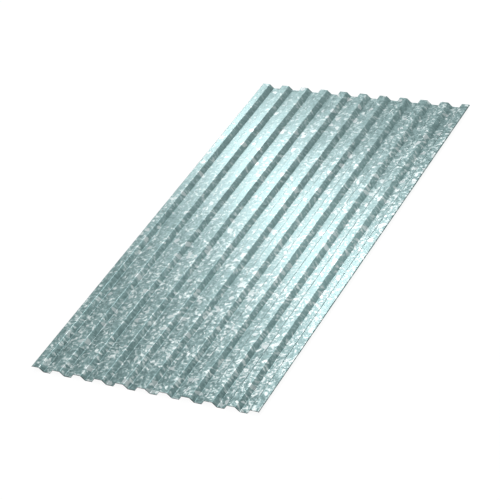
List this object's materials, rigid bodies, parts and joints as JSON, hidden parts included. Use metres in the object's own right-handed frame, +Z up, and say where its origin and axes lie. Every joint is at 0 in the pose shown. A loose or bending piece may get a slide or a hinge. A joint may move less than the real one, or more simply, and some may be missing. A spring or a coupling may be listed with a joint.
{
  "type": "corrugated metal sheet",
  "caption": "Rectangular galvanised steel sheet rolled into parallel trapezoidal ribs, with its long edges turned down, for covering roofs, walls and fences.",
  "frame": {"origin": "middle of the sheet, on the plane that the undersides of its troughs rest on", "axes": "+X across the ribs, +Y along the ribs, +Z up"},
  "size_m": [1.0396, 2, 0.021],
  "materials": {
    "galvanised_steel": "hot-dip galvanised, spangled, satin"
  },
  "bodies": {
    "root": {"corrugated_sheet": "galvanised_steel"}
  },
  "joints": []
}
